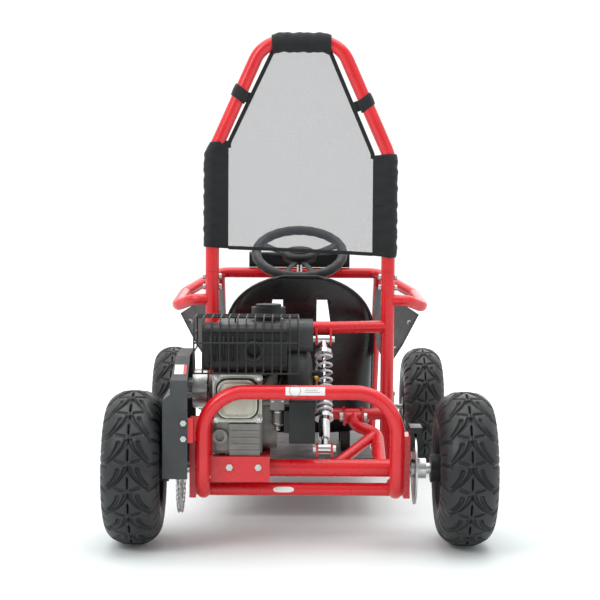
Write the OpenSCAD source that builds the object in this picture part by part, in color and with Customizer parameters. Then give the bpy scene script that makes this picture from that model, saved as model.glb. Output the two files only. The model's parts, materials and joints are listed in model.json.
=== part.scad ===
// Child's off-road kart: tubular chassis with its engine, drive, running gear and seat.
// Millimetres. +X right as seen from behind, +Y forward, +Z up, origin on the floor mid-kart.

/* [Overall] */
// Length from the rear tyres to the front bumper
overall_l = 1500; // [1450:10:1560]
// Diameter of the rear tyres
rear_tyre_d = 355; // [345:1:360]
// Width of the rear tyres
rear_tyre_w = 134; // [128:1:135]
// Distance between the rear tyres' centres
rear_track = 754; // [752:1:766]
// Diameter of the front tyres
front_tyre_d = 350; // [340:1:352]
// Width of the front tyres
front_tyre_w = 120; // [110:1:124]
// Distance between the front tyres' centres
front_track = 730; // [726:1:740]
// Distance between the axles
wheelbase = 1052; // [1040:1:1060]

/* [Frame] */
// Outside diameter of the main tubes
tube_d = 33; // [30:1:34]
// Half the distance between the roll posts
post_x = 215; // [212:1:217]
// Height of the roll hoop's top bar, at its centre line
hoop_z = 1170; // [1140:5:1190]
// Height at which the upper hoop joins the posts
joint_z = 612; // [605:1:620]
// Height of the floor rails, at their centre line
floor_z = 128; // [124:1:132]
// Half the distance between the floor rails
rail_x = 205; // [200:1:208]

/* [Running gear] */
// Diameter of the rear axle
axle_d = 25; // [22:1:26]
// Radius of the axle sprocket, at its tooth tips
sprocket_r = 96; // [92:1:100]
// Radius of the clutch sprocket, at its tooth tips
clutch_r = 32; // [28:1:36]
// Radius of the brake disc
disc_r = 82; // [76:1:86]
// Diameter of the steering wheel
wheel_d = 256; // [240:2:270]

/* [Hidden] */
$fn = 48;

red = [0.80, 0.08, 0.10];
black = [0.10, 0.10, 0.11];
grey = [0.26, 0.27, 0.28];
steel = [0.70, 0.71, 0.72];
alloy = [0.46, 0.45, 0.43];

// Places that several parts share
rear_y = -overall_l / 2 + rear_tyre_d / 2;
front_y = rear_y + wheelbase;
axle_z = rear_tyre_d / 2;
stub_z = front_tyre_d / 2;
post_y = rear_y + 280;
top_half = 92;
spigot_d = 24;
bolt_zs = [joint_z - 38, joint_z - 12];
slant_z = 896;
dash_y = rear_y + 672;
dash_z = 589;
side_x = 305;
side_z = 524;
pivot = [0, rear_y + 225, 262];
hoop_y = rear_y - 72;
hoop_x = 218;
swing_z = 128;
shock_x = 57;
shock_top = [shock_x, rear_y + 205, 452];
shock_low = [shock_x, rear_y + 30, 216];
crank = [0, rear_y + 110, 345];
chain_x = -271;
disc_x = 262;
column_tilt = 30;
wheel_c = [0, rear_y + 600, 645];
column_l = 500;
column_d = 16;
column_axis = [0, -sin(column_tilt), cos(column_tilt)];
king_x = 270;
arm_l = 100;
pitman_l = 45;
run = 0.05;
gap = 0.5;
lap = 1.5;
draw = 0.4;

// Vector and tube helpers
function unit(v) = v / norm(v);
function corner_turn(a, b, c) = 180 - acos(unit(a - b) * unit(c - b));
function corner_set(a, b, c, r) = r * tan(corner_turn(a, b, c) / 2);
function flip(p) = [-p[0], p[1], p[2]];

module rod(a, b, d) {
  v = b - a;
  translate(a) rotate([0, acos(v[2] / norm(v)), atan2(v[1], v[0])]) cylinder(h = norm(v), d = d);
}

// A bend; it is drawn down a little in diameter and laps into the straight tubes
module elbow(a, b, c, r, d) {
  turn = corner_turn(a, b, c);
  start = b + unit(a - b) * corner_set(a, b, c, r);
  end = b + unit(c - b) * corner_set(a, b, c, r);
  mid = b + unit(unit(a - b) + unit(c - b)) * r / cos(turn / 2);
  ex = unit(start - mid);
  ez = unit(cross(start - mid, end - mid));
  ey = cross(ez, ex);
  multmatrix([[ex[0], ey[0], ez[0], mid[0]], [ex[1], ey[1], ez[1], mid[1]],
              [ex[2], ey[2], ez[2], mid[2]], [0, 0, 0, 1]])
    rotate([0, 0, -lap]) rotate_extrude(angle = turn + 2 * lap) translate([r, 0]) circle(d = d - draw);
}

// A tube through points; r is the radius of its bends, or a list with one for each inner point
module bent(pts, r, d = tube_d) {
  last = len(pts) - 1;
  radius = [for (i = [0:last]) is_list(r) ? r[max(i - 1, 0)] : r];
  for (i = [0:last - 1]) {
    way = unit(pts[i + 1] - pts[i]);
    from = i == 0 ? pts[0] : pts[i] + way * corner_set(pts[i - 1], pts[i], pts[i + 1], radius[i]);
    to = i == last - 1 ? pts[last]
       : pts[i + 1] - way * corner_set(pts[i], pts[i + 1], pts[i + 2], radius[i + 1]);
    rod(from, to, d);
  }
  for (i = [1:last - 1]) elbow(pts[i - 1], pts[i], pts[i + 1], radius[i], d);
}

// A rod on the steering column's axis, between two distances down from the wheel's centre
module column_rod(s0, s1, d) { rod(wheel_c - column_axis * s0, wheel_c - column_axis * s1, d); }

module both() { children(); mirror([1, 0, 0]) children(); }
module along_x(x, y, z) { translate([x, y, z]) rotate([0, 90, 0]) children(); }

// A box with its low corner and its high corner
module block(lo, hi) { translate(lo) cube(hi - lo); }

// A box with round edges that run along X
module round_box(lo, hi, r) {
  translate([lo[0], 0, 0]) rotate([90, 0, 90]) linear_extrude(hi[0] - lo[0])
    translate([lo[1] + r, lo[2] + r]) offset(r) square([hi[1] - lo[1] - 2 * r, hi[2] - lo[2] - 2 * r]);
}

// A hexagon bolt through a stack from x0 to x1, along X, with its nut
module bolt_x(x0, x1, y, z, d, head) {
  along_x(x0 - head, y, z) cylinder(h = head, d = d * 1.8, $fn = 6);
  along_x(x0 - head / 2, y, z) cylinder(h = x1 - x0 + head * 1.4, d = d);
  along_x(x1, y, z) cylinder(h = head, d = d * 1.7, $fn = 6);
}

// A hexagon bolt whose head faces the rear
module bolt_y(p, d, l, head) {
  translate(p) rotate([-90, 0, 0]) {
    translate([0, 0, -head]) cylinder(h = head, d = d * 1.8, $fn = 6);
    translate([0, 0, -head / 2]) cylinder(h = l + head / 2, d = d);
  }
}

// ---- Main frame ----
rail_back = post_y + 17;
rail_front = front_y + 150;
cross_y = 300;
pedal_x = 95;
pedal_y = front_y - 75;
pedal_z = floor_z + 52;

// Two legs that hold the bush at the column's foot, bent forward of the tie rods' sweep
module column_legs() both()
  bent([[70, cross_y + 1, floor_z], [44, cross_y + 14, floor_z + 82], [9, cross_y - 44, floor_z + 142]], 20, 16);

module floor_frame() color(red) {
  bent([[-rail_x, rail_back, floor_z], [-rail_x, front_y - 130, floor_z], [-130, front_y + 10, floor_z + 30],
        [-110, rail_front, floor_z + 30], [110, rail_front, floor_z + 30], [130, front_y + 10, floor_z + 30],
        [rail_x, front_y - 130, floor_z], [rail_x, rail_back, floor_z]], 45, 28);
  for (y = [rail_back + 190, cross_y]) rod([-rail_x, y, floor_z], [rail_x, y, floor_z], 25);
  // Legs and bush at the foot of the steering column
  difference() {
    union() {
      column_legs();
      column_rod(425, 455, 28);
    }
    column_rod(400, 480, column_d + 2 * run);
  }
  // Ears and pins of the two pedals
  for (s = [-1, 1]) {
    for (e = [-1, 1]) translate([s * pedal_x + e * 19 - 2, 0, 0])
      block([0, pedal_y - 12, floor_z + 22], [4, pedal_y + 12, pedal_z + 10]);
    rod([s * pedal_x - 24, pedal_y, pedal_z], [s * pedal_x + 24, pedal_y, pedal_z], 10);
  }
  rod([-rail_x + 28, pedal_y, floor_z + 28], [rail_x - 28, pedal_y, floor_z + 28], 20);
  rod([-120, front_y - 12, floor_z + 30], [120, front_y - 12, floor_z + 30], 25);
}

pan_x = rail_x - 19;
module floor_pan() color(grey) difference() {
  translate([0, 0, floor_z + 14.5]) linear_extrude(2)
    polygon([[-pan_x, rail_back + 24], [pan_x, rail_back + 24], [pan_x, front_y - 140],
             [118, front_y - 36], [-118, front_y - 36], [-pan_x, front_y - 140]]);
  both() block([46, cross_y - 22, floor_z], [84, cross_y + 14, floor_z + 30]);
}

anchor_x = post_x + 2;
anchor_y = post_y + 40;
anchor_z = 183;
module roll_posts() color(red) {
  difference() {
    union() {
      both() rod([post_x, post_y, floor_z], [post_x, post_y, joint_z - gap], tube_d);
      bent([[-post_x, post_y, 478], [-120, post_y - 10, 478], [60, post_y - 32, 478],
            [post_x, post_y, 478]], 120, 30);
      rod([-post_x, post_y, 262], [post_x, post_y, 262], 28);
      // Ears of the swing pivot
      for (x = [-156, -112, 106, 150]) block([x, pivot[1] - 20, 244], [x + 6, post_y, 280]);
      // Ears that hold the top of the shock
      for (s = [-1, 1]) block([shock_x + s * 17 - 2.5, shock_top[1] - 14, shock_top[2] - 12],
                              [shock_x + s * 17 + 2.5, post_y - 30, 478]);
      // Lap belt anchors
      both() block([anchor_x - 4, post_y, anchor_z - 17], [anchor_x, anchor_y + 17, anchor_z + 17]);
    }
    for (z = bolt_zs) both() rod([post_x - 30, post_y, z], [post_x + 30, post_y, z], 8.6);
    both() translate([post_x, post_y, joint_z - 55]) cylinder(h = 80, d = spigot_d + 0.4);
    along_x(-200, pivot[1], pivot[2]) cylinder(h = 400, d = 12.2);
    along_x(shock_x - 40, shock_top[1], shock_top[2]) cylinder(h = 80, d = 10.2);
    both() along_x(anchor_x - 14, anchor_y, anchor_z) cylinder(h = 24, d = 11);
  }
}

// The hoop lifts off: a spigot goes down inside each post, and the cross bolts hold it
module roll_hoop() color(red) difference() {
  union() {
    bent([[-post_x, post_y, joint_z], [-post_x, post_y, slant_z], [-top_half, post_y, hoop_z],
          [top_half, post_y, hoop_z], [post_x, post_y, slant_z], [post_x, post_y, joint_z]], 75);
    both() rod([post_x, post_y, joint_z - 54], [post_x, post_y, joint_z + 4], spigot_d);
  }
  for (z = bolt_zs) both() rod([post_x - 30, post_y, z], [post_x + 30, post_y, z], 8.6);
}

module side_hoop() color(red) {
  both() difference() {
    bent([[post_x + 4, post_y, 543], [post_x + 47, post_y, 543], [side_x, post_y + 50, side_z],
          [side_x - 10, dash_y - 190, 545], [213, dash_y, dash_z], [150, dash_y, dash_z]], 40, 28);
    // The end is coped to the post
    rod([post_x, post_y, 500], [post_x, post_y, 590], tube_d + 0.6);
  }
  rod([-152, dash_y, dash_z], [152, dash_y, dash_z], 28);
  dash_bush();
  both() rod([213, dash_y - 4, dash_z - 6], [rail_x, front_y - 230, floor_z + 21], 25);
}

module front_bumper() color(red) {
  y1 = overall_l / 2 - 14;
  y0 = rail_front + 25;
  bent([[-86, y0, floor_z + 30], [-140, y1 - 20, 150], [-150, y1, 300], [150, y1, 300],
        [140, y1 - 20, 150], [86, y0, floor_z + 30]], 40, 28);
  // Stubs that meet the frame's front tube
  both() rod([80, rail_front + 14.5, floor_z + 30], [80, y0 + 6, floor_z + 30], 22);
  rod([-146, y1 - 9, 225], [146, y1 - 9, 225], 22);
}

module front_axle_beam() color(red) {
  rod([-240, front_y, stub_z + 16], [240, front_y, stub_z + 16], 36);
  both() {
    block([102, front_y - 14, floor_z + 44.4], [134, front_y + 14, stub_z + 14]);
    block([232, front_y - 18, stub_z - 38], [246, front_y + 18, stub_z + 44]);
    block([240, front_y - 18, stub_z + 34], [king_x + 16, front_y + 18, stub_z + 44]);
    block([240, front_y - 18, stub_z - 38], [king_x + 16, front_y + 18, stub_z - 30]);
  }
  // Kingpins, pressed into the yokes
  both() {
    translate([king_x, front_y, stub_z - 40]) cylinder(h = 90, d = 14);
    translate([king_x, front_y, stub_z + 44]) cylinder(h = 9, d = 26, $fn = 6);
  }
}

module frame_bolts() color(steel) {
  half = tube_d / 2;
  for (z = bolt_zs) both() bolt_x(post_x - half, post_x + half, post_y, z, 8, 6);
  bolt_x(shock_x - 19.5, shock_x + 19.5, shock_top[1], shock_top[2], 10, 7);
}

module pivot_bolt() color(steel)
  for (x = [-156, 106]) bolt_x(x, x + 50, pivot[1], pivot[2], 12, 8);

// ---- Seat, panels and net ----
seat_w = 374;
seat_top = 600;
seat_back_y = rear_y + 330;

module seat_side(t) {
  rotate([90, 0, 90]) linear_extrude(t) difference() {
    polygon([[seat_back_y, seat_top], [seat_back_y + 60, 520], [seat_back_y + 110, 400],
             [seat_back_y + 190, 300], [90, 268], [100, 222], [seat_back_y + 90, 178],
             [seat_back_y + 52, 205], [seat_back_y - 6, seat_top]]);
  }
}

module seat_band() {
  translate([-seat_w / 2, 0, 0]) rotate([90, 0, 90]) linear_extrude(seat_w)
    polygon([[seat_back_y - 6, seat_top], [seat_back_y, seat_top], [seat_back_y + 60, 210],
             [seat_back_y + 92, 184], [100, 228], [100, 222], [seat_back_y + 90, 178],
             [seat_back_y + 54, 205]]);
}

module seat() color(black) difference() {
  union() {
    intersection() {
      seat_band();
      translate([0, 200, 0]) rotate([90, 0, 0]) linear_extrude(600)
        polygon(concat([for (a = [0:6:180]) super(a, seat_w / 2, 150, 0.85) + [0, seat_top - 150]],
                       [[-seat_w / 2, 150], [seat_w / 2, 150]]));
    }
    intersection() {
      both() translate([seat_w / 2 - 6, 0, 0]) seat_side(6);
      translate([-250, -600, 150]) cube([500, 900, seat_top - 300]);
    }
    for (s = [-1, 1]) block([s * 120 - 12, seat_back_y + 100, floor_z + 17.5],
                            [s * 120 + 12, 70, 190]);
  }
  both() rotate([90, 0, 0]) translate([0, 0, 100]) linear_extrude(300)
    polygon([[42, 484], [76, 484], [68, 539], [42, 539]]);
}

// The plate's plane runs through its top corner at the rear, its front end and its foot
panel_top = [side_x - 8, post_y + 56, side_z - 20];
panel_front = [212, dash_y - 8, dash_z - 38];
panel_foot = [232, post_y + 62, 372];
module panel_plate() color(grey) {
  along = unit(panel_front - panel_top);
  face = unit(cross(along, panel_foot - panel_top));
  down = cross(face, along);
  l = norm(panel_front - panel_top);
  multmatrix([for (i = [0:2]) [along[i], down[i], face[i], panel_top[i]]])
    linear_extrude(4) polygon([[0, 0], [l, 0], [l - 40, 46], [l * 0.45, 128], [26, 158], [6, 90]]);
}
module side_panel_right() panel_plate();
module side_panel_left() mirror([1, 0, 0]) panel_plate();

module dash_box() color(black)
  round_box([-135, dash_y - 12, dash_z + 15], [135, dash_y + 62, dash_z + 55], 10);

net_half = 176;
net_low = [668, 652];
net_high = [925, 900];

// Net panel as one thin sheet, with its hem sloping a little to the right
module net_panel() color([0.8, 0.8, 0.82])
  translate([0, post_y + 1.5, 0]) rotate([90, 0, 0]) linear_extrude(3)
    polygon([[-net_half, net_low[0]], [net_half, net_low[1]], [net_half, net_high[1]],
             [70, hoop_z - 25], [-70, hoop_z - 25], [-net_half, net_high[0]]]);

module sleeve(x, low, high) {
  s = sign(x);
  color(black) difference() {
    union() {
      translate([x, post_y, low]) cylinder(h = high - low, r = 22);
      block([min(x, s * (net_half + 1)), post_y - 4, low], [max(x, s * (net_half + 1)), post_y + 4, high]);
    }
    translate([x, post_y, low - 1]) cylinder(h = high - low + 2, r = tube_d / 2 + 0.5);
  }
}
module net_sleeve_left() sleeve(-post_x, net_low[0] + 2, 878);
module net_sleeve_right() sleeve(post_x, net_low[1] - 4, 878);

module net_sleeve_top() color(black) difference() {
  along_x(-60, post_y, hoop_z) cylinder(h = 120, r = 24);
  along_x(-70, post_y, hoop_z) cylinder(h = 140, r = tube_d / 2 + 3);
}

// Straps that hook round the slanted legs
slant = unit([top_half - post_x, 0, hoop_z - slant_z]);
module strap(s, z) {
  at = (z - slant_z) / slant[2];
  a = [post_x, post_y, slant_z] + slant * (at - 15);
  b = [post_x, post_y, slant_z] + slant * (at + 15);
  difference() {
    rod([s * a[0], a[1], a[2]], [s * b[0], b[1], b[2]], tube_d + 7);
    rod([s * (a[0] - slant[0] * 9), a[1], a[2] - slant[2] * 9],
        [s * (b[0] + slant[0] * 9), b[1], b[2] + slant[2] * 9], tube_d + 1);
  }
}
module net_straps() color(black) {
  strap(-1, 1044);
  strap(1, 1024);
}

// ---- Swing frame and axle ----
arm_x = 131;
carrier_in = 226;
carrier_out = 250;

guard_back = rear_y - 109;
guard_in = 250;
guard_out = 305.5;
guard_bolt = [-259, guard_back, 0];
guard_bolt_zs = [260, 295];
module rear_hoop() color(red) {
  bent([[-hoop_x, rear_y + 60, swing_z], [-hoop_x, hoop_y, swing_z], [-hoop_x, hoop_y, 360],
        [hoop_x, hoop_y, 360], [hoop_x, hoop_y, swing_z], [hoop_x, rear_y + 60, swing_z]], [52, 95, 95, 52]);
  rod([-hoop_x, rear_y, swing_z], [hoop_x, rear_y, swing_z], tube_d - 3);
  // Joggled bracket that carries the chain guard
  difference() {
    union() {
      block([-264.5, guard_back + 3.5, 250], [-238, guard_back + 9.5, 306]);
      block([-244, guard_back + 3.5, 250], [-238, hoop_y + 3, 306]);
      block([-244, hoop_y - 5, 250], [-hoop_x + 4, hoop_y + 3, 306]);
    }
    for (z = guard_bolt_zs) translate(guard_bolt + [0, -5, z]) rotate([-90, 0, 0]) cylinder(h = 20, d = 8.2);
  }
}

module swing_arm() color(red) difference() {
  union() {
    along_x(-carrier_in - 11, rear_y, axle_z) cylinder(h = 2 * carrier_in + 22, d = 40);
    both() along_x(carrier_in, rear_y, axle_z) cylinder(h = 12, d = 64);
    both() block([carrier_in + 9.5, rear_y - 36, 114], [carrier_out, rear_y + 36, 256]);
    for (s = [-1, 1]) bent([[s * 185, rear_y + 6, axle_z + 4], [s * 185, pivot[1] - 77, pivot[2] - 30],
      [s * arm_x, pivot[1] - 37, pivot[2] - 14], [s * arm_x, pivot[1], pivot[2]]], 40, 28);
    rod([72, rear_y + 6, axle_z - 2], [176, pivot[1] - 84, pivot[2] - 32], 26);
    for (s = [-1, 1]) along_x(s * arm_x - 18.5, pivot[1], pivot[2]) cylinder(h = 37, d = 30);
    for (s = [-1, 1]) block([shock_x + s * 17 - 2.5, shock_low[1] - 14, axle_z + 8],
                            [shock_x + s * 17 + 2.5, shock_low[1] + 14, shock_low[2] + 12]);
  }
  along_x(-300, rear_y, axle_z) cylinder(h = 600, d = 31);
  both() along_x(carrier_out - 16, rear_y, axle_z) cylinder(h = 20, d = 52);
  for (s = [-1, 1]) along_x(s * arm_x - 30, pivot[1], pivot[2]) cylinder(h = 60, d = 12 + 2 * run);
  along_x(shock_x - 40, shock_low[1], shock_low[2]) cylinder(h = 80, d = 10.2);
}

module axle_bearings() color(steel) both() difference() {
  along_x(carrier_out - 16, rear_y, axle_z) cylinder(h = 16, d = 51.9);
  along_x(carrier_out - 20, rear_y, axle_z) cylinder(h = 24, d = axle_d + 2 * run);
}

mount_y = rear_y - 42;
mount_x = [-202, -68];
case_x = [-166, -52];
module engine_mount() color(red) difference() {
  union() {
    block([mount_x[0], mount_y - 5, 152], [mount_x[1], mount_y, 210]);
    block([mount_x[0], mount_y - 5, 204], [mount_x[1], mount_y + 30, 210]);
    block([case_x[0], mount_y, 204], [mount_x[1], rear_y + 130, 210]);
    for (x = [case_x[0], mount_x[1] - 5]) block([x, mount_y, 199], [x + 5, rear_y + 126, 205]);
    block([-140, rear_y - 12, 198.2], [-120, rear_y + 12, 205]);
  }
  for (x = [-159, -94]) translate([x, mount_y - 20, 186]) rotate([-90, 0, 0]) cylinder(h = 40, d = 10);
}

module swing_bolts() color(steel) {
  for (x = [-159, -94]) bolt_y([x, mount_y - 5, 186], 9, 14, 5);
  bolt_x(shock_x - 19.5, shock_x + 19.5, shock_low[1], shock_low[2], 10, 7);
  for (z = guard_bolt_zs) bolt_y(guard_bolt + [0, 0, z], 8, 16, 6);
}

// ---- Engine ----
module crankcase() color(alloy) difference() {
  union() {
    round_box([case_x[0], rear_y + 34, 210.5], [case_x[1], rear_y + 134, 403.5], 22);
    // Feet that hold the fuel tank
    for (x = [-160, -96]) block([x, rear_y + 66, 380], [x + 26, rear_y + 120, 430.5]);
    along_x(-212, crank[1], crank[2]) cylinder(h = 60, r = 38);
    along_x(-282, crank[1], crank[2]) cylinder(h = 90, r = 10);
    along_x(-284, crank[1], crank[2]) cylinder(h = 5, r = 13, $fn = 6);
  }
  along_x(-60, crank[1], crank[2]) cylinder(h = 20, r = 30);
}

fin_n = 5;
module cylinder_block() color(alloy) difference() {
  union() {
    block([-190, rear_y - 30, 222], [-94, rear_y + 33.5, 396]);
    for (i = [0:fin_n - 1]) block([-198, rear_y - 22 + i * 11, 214], [-86, rear_y - 17 + i * 11, 398]);
    block([-160, rear_y - 40, 225], [-90, rear_y - 22, 283]);
    for (i = [0:2]) block([-156, rear_y - 43, 233 + i * 15], [-92, rear_y - 36, 238 + i * 15]);
    translate([-181, rear_y - 22, 254]) rotate([90, 0, 0]) cylinder(h = 20, r = 17);
    block([-160, rear_y - 38, 211], [-90, rear_y + 20, 224]);
  }
  translate([-181, rear_y - 34, 254]) rotate([90, 0, 0]) cylinder(h = 20, r = 10);
}

module rounded_plate(x, z, w, h, r, t) {
  translate([x, 0, z]) rotate([90, 0, 0]) linear_extrude(t) offset(r)
    square([w - 2 * r, h - 2 * r], center = true);
}

cover_x = -142;
cover_z = 341;
module valve_cover() color([0.75, 0.75, 0.7]) {
  translate([0, rear_y - 31, 0]) rounded_plate(cover_x, cover_z, 112, 108, 14, 6);
  translate([0, rear_y - 36, 0]) rounded_plate(cover_x, cover_z, 90, 86, 24, 14);
  for (sx = [-1, 1], sz = [-1, 1]) translate([cover_x + sx * 48, rear_y - 31, cover_z + sz * 46])
    rotate([90, 0, 0]) {
      cylinder(h = 11, r = 9.5);
      cylinder(h = 16, r = 6, $fn = 6);
    }
}

module carburettor() color([0.62, 0.6, 0.55]) {
  translate([-51, rear_y - 2, 279]) cylinder(h = 34, r = 14);
  translate([-51, rear_y - 2, 270]) cylinder(h = 12, r = 6);
  block([-68, rear_y - 18, 312], [-36, rear_y + 9.5, 346]);
  along_x(-85.5, rear_y - 2, 329) cylinder(h = 60, r = 11);
}

module air_box() color(black) {
  round_box([-25, rear_y - 40, 238], [34, rear_y + 8, 340], 8);
  block([-36.5, rear_y - 30, 262], [-24, rear_y - 6, 311.5]);
}

module recoil_housing() color(black) difference() {
  along_x(-51.5, crank[1], crank[2]) rotate_extrude() {
    difference() {
      union() {
        translate([0, 23]) square([100, 27]);
        square([72, 78]);
        translate([72, 50]) intersection() { circle(r = 28); square(28); }
      }
    }
  }
  for (a = [0:30:330]) translate([0, crank[1], crank[2]]) rotate([a, 0, 0]) translate([0, 0, 52])
    along_x(22, 0, 0) cylinder(h = 10, r = 7);
}

// The tank's floor is hollowed over the recoil housing
module fuel_tank() color(grey) difference() {
  union() {
    round_box([-190, rear_y + 62, 431], [30, rear_y + 196, 505], 22);
    translate([-75, rear_y + 128, 500]) cylinder(h = 12, r = 30);
  }
  along_x(-29.5, crank[1], crank[2]) cylinder(h = 80, r = 101);
}

module fuel_cap() color(black) {
  translate([-75, rear_y + 128, 512.5]) cylinder(h = 24, r = 40);
  translate([-75, rear_y + 128, 536]) cylinder(h = 7, r = 30);
}

muf_x = [-220, -30];
module muffler() color(black) difference() {
  union() {
    round_box([muf_x[0], rear_y - 52, 404], [muf_x[1], rear_y + 50, 508], 20);
    translate([-105, rear_y - 44, 452]) rotate([90, 0, 0]) cylinder(h = 20, r = 19);
    for (i = [0:4]) block([-80, rear_y - 54, 420 + i * 16], [-36, rear_y - 45, 425 + i * 16]);
  }
  translate([-105, rear_y - 40, 452]) rotate([90, 0, 0]) cylinder(h = 40, r = 15);
}

wire = 4;
guard_x = [-238, -5];
module muffler_guard() color(black) {
  n = 13;
  back = rear_y - 76;
  for (i = [0:n - 1]) {
    x = guard_x[0] + i * (guard_x[1] - guard_x[0]) / (n - 1);
    bent([[x, back, 400], [x, back, 524], [x, rear_y + 52, 524]], 34, wire);
  }
  for (z = [402, 470]) rod([guard_x[0] - 2, back, z], [guard_x[1] + 2, back, z], wire);
  for (y = [rear_y - 20, rear_y + 18, rear_y + 50])
    rod([guard_x[0] - 2, y, 524], [guard_x[1] + 2, y, 524], wire);
  for (x = guard_x) for (z = [450, 488]) rod([x, back, z], [x, rear_y + 50, z], wire);
  for (x = guard_x) rod([x, rear_y + 50, 448], [x, rear_y + 50, 524], wire);
  // Stays that stand on the crankcase
  for (x = [-150, -60]) rod([x, rear_y + 53, 404], [x, rear_y + 53, 524], wire);
}

// Side outline and rear outline of the chain guard, drawn in by the wall to make its inside
module guard_side(inset) {
  offset(6 - inset) polygon([[guard_back + 6, 163], [guard_back + 6, 386], [guard_back + 92, 430],
    [crank[1] + 40, 430], [crank[1] + 62, 400], [crank[1] + 62, 262],
    [rear_y + 116, 200], [rear_y + 116, 163]]);
}
module guard_rear(x0, x1, top)
  polygon([[x0, 100], [x0, 346], [x0 + 17, 358], [x0 + 17, 386], [x0 + 28, top], [x1, top], [x1, 100]]);

module guard_body(inset, x1) intersection() {
  translate([-guard_out - 10, 0, 0]) rotate([90, 0, 90]) linear_extrude(100) guard_side(inset);
  translate([0, -300, 0]) rotate([90, 0, 0]) linear_extrude(500)
    guard_rear(-guard_out + inset, x1, 460 - inset);
}

module chain_guard() color(grey) difference() {
  guard_body(0, -guard_in);
  guard_body(3, -guard_in + 30);
  block([-320, rear_y - 140, 90], [-230, rear_y + 140, axle_z - 8]);
  along_x(-320, rear_y, axle_z) cylinder(h = 90, r = 40);
  for (z = guard_bolt_zs) translate(guard_bolt + [0, -5, z]) rotate([-90, 0, 0]) cylinder(h = 20, d = 8.2);
}

module loop2d(grow) hull() {
  translate([rear_y, axle_z]) circle(r = sprocket_r + grow, $fn = 72);
  translate([crank[1], crank[2]]) circle(r = clutch_r + grow, $fn = 36);
}
module chain() color(steel)
  translate([chain_x - 5, 0, 0]) rotate([90, 0, 90]) linear_extrude(10) difference() {
    loop2d(8);
    loop2d(0.6);
  }

module brake_caliper() color(black) {
  block([disc_x - 11.5, rear_y - 32, axle_z + 44], [disc_x - 3.5, rear_y + 32, axle_z + disc_r + 4]);
  block([disc_x + 3.5, rear_y - 32, axle_z + 44], [disc_x + 15, rear_y + 32, axle_z + disc_r + 4]);
  block([disc_x - 11.5, rear_y - 32, axle_z + disc_r + 3], [disc_x + 15, rear_y + 32, axle_z + disc_r + 16]);
}

// ---- Rear axle and wheels ----
module rear_axle() color(steel) {
  along_x(-rear_track / 2 - 40, rear_y, axle_z) cylinder(h = rear_track + 80, d = axle_d);
  both() along_x(rear_track / 2 + 22, rear_y, axle_z) cylinder(h = 12, d = 36, $fn = 6);
}

module teeth(n, r, depth, t) {
  difference() {
    cylinder(h = t, r = r);
    for (i = [0:n - 1]) rotate(i * 360 / n) translate([r + 1, 0, -1])
      cylinder(h = t + 2, r = depth, $fn = 16);
  }
}

module axle_sprocket() color(steel) translate([chain_x, rear_y, axle_z]) rotate([0, 90, 0]) difference() {
  union() {
    translate([0, 0, -2.5]) teeth(40, sprocket_r, 5, 5);
    translate([0, 0, -12]) cylinder(h = 30 - 12, d = 56);
  }
  for (a = [0:60:300]) rotate(a) translate([58, 0, -5]) cylinder(h = 10, r = 15);
  translate([0, 0, -30]) cylinder(h = 60, d = axle_d + 0.04);
}

module brake_disc() color(steel) translate([disc_x, rear_y, axle_z]) rotate([0, 90, 0]) difference() {
  union() {
    translate([0, 0, -2]) cylinder(h = 4, r = disc_r);
    translate([0, 0, -8]) cylinder(h = 34, d = 46);
  }
  for (a = [0:30:330]) rotate(a) for (k = [0, 1]) rotate(k * 12) translate([56 + k * 13, 0, -5])
    cylinder(h = 10, r = 4.5);
  translate([0, 0, -30]) cylinder(h = 70, d = axle_d + 0.04);
}

// A rim about +Z, with its outer side up; bore is its hub's bore
module rim(w, r, bore, hub_from) difference() {
  rotate_extrude($fn = 72) difference() {
    union() {
      translate([r - 5, -w / 2 + 8]) square([5, w - 16]);
      for (s = [-1, 1]) translate([r - 5, s * (w / 2 - 6) - 2]) square([12, 4]);
      for (s = [-1, 1]) translate([r - 5, s * (w / 2 - 8) - 4]) square([5, 8]);
      translate([bore / 2, 8]) square([r - 3 - bore / 2, 5]);
      translate([bore / 2, hub_from]) square([20, 18 - hub_from]);
    }
  }
  for (a = [0:90:270]) rotate(a + 45) translate([50, 0, 0]) cylinder(h = 20, r = 5);
  for (a = [0:90:270]) rotate(a) translate([54, 0, 0]) cylinder(h = 20, r = 11);
}

function super(a, w, h, p) = [w * sign(cos(a)) * pow(abs(cos(a)), p), h * sign(sin(a)) * pow(abs(sin(a)), p)];

module tyre_section(high, half)
  polygon([for (a = [0:15:345]) super(a, high, half, cos(a) > 0 ? 0.95 : 0.55)]);

// A tyre about +Z: a round crown, straighter sidewalls, and beads that sit inside the rim's flanges
module tyre(w, d, r) {
  mid = (d / 2 + r) / 2;
  high = (d / 2 - r) / 2;
  bead = rim_width(w) / 2 - 8.5;
  rotate_extrude($fn = 96) difference() {
    translate([mid, 0]) tyre_section(high, w / 2);
    translate([mid, 0]) tyre_section(high - 11, w / 2 - 9);
    translate([r - 2, -bead + 8]) square([16, 2 * bead - 16]);
    for (s = [-1, 1]) translate([r - 2, s == 1 ? bead : -w / 2]) square([10, w / 2 - bead]);
  }
}

rim_r = 80;
function rim_width(w) = w - 26;
module side_out(s, track, y, z) { translate([s * track / 2, y, z]) rotate([0, s * 90, 0]) children(); }
module rear_rims() color(black) for (s = [-1, 1])
  side_out(s, rear_track, rear_y, axle_z) rim(rim_width(rear_tyre_w), rim_r, axle_d + 0.04, -78);
module rear_tyre(s) color(black) side_out(s, rear_track, rear_y, axle_z)
  tyre(rear_tyre_w, rear_tyre_d, rim_r + 0.5);
module rear_tyre_left() rear_tyre(-1);
module rear_tyre_right() rear_tyre(1);

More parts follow.
